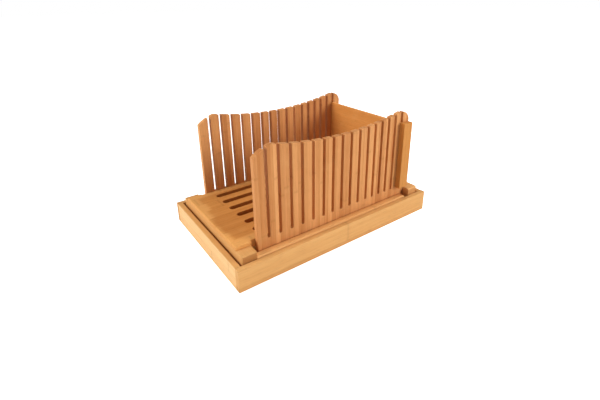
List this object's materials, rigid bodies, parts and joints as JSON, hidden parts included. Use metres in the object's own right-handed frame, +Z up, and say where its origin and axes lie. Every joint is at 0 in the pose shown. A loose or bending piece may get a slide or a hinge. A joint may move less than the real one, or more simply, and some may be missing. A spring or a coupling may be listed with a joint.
{
  "type": "bread slicer guide",
  "caption": "Bamboo bread slicing guide: comb guides on a slotted board with a back stop, lying in a crumb tray.",
  "frame": {"origin": "centre of the tray's footprint, on the table", "axes": "+X along the loaf towards the back stop, +Y from the front guide to the rear guide, +Z up"},
  "size_m": [0.36, 0.222, 0.18],
  "materials": {
    "tray_wood": "satin oiled bamboo",
    "tray_panel": "satin oiled bamboo",
    "base_wood": "satin oiled bamboo",
    "board_wood": "satin oiled bamboo",
    "guide_wood": "satin oiled bamboo",
    "stop_wood": "satin oiled bamboo",
    "cleat_wood": "satin oiled bamboo",
    "dowel_wood": "plain turned wood"
  },
  "bodies": {
    "tray": {"tray_floor": "tray_panel", "tray_front_wall": "tray_wood", "tray_back_wall": "tray_wood", "tray_left_wall": "tray_wood", "tray_right_wall": "tray_wood", "tray_corner_dowels": "dowel_wood"},
    "base": {"left_crossbar": "base_wood", "right_crossbar": "base_wood", "slotted_board": "board_wood", "board_dowels": "dowel_wood", "front_rail": "base_wood", "rear_rail": "base_wood", "rail_dowels": "dowel_wood"},
    "front_comb": {"front_guide": "guide_wood"},
    "rear_comb": {"rear_guide": "guide_wood"},
    "stop": {"stop_panel": "stop_wood", "front_cleat": "cleat_wood", "rear_cleat": "cleat_wood"}
  },
  "joints": [
    {"name": "base_lift", "type": "slide", "parent": "tray", "child": "base", "axis": [0, 0, 1], "range_m": [0, 0.06]},
    {"name": "front_guide_lift", "type": "slide", "parent": "base", "child": "front_comb", "axis": [0, 0, 1], "range_m": [0, 0.05]},
    {"name": "rear_guide_lift", "type": "slide", "parent": "base", "child": "rear_comb", "axis": [0, 0, 1], "range_m": [0, 0.05]},
    {"name": "back_stop_lift", "type": "slide", "parent": "front_comb", "child": "stop", "axis": [0, 0, 1], "range_m": [0, 0.135]}
  ],
  "couplings": [
    {"joint": "rear_guide_lift", "follows": "front_guide_lift", "ratio": 1}
  ]
}
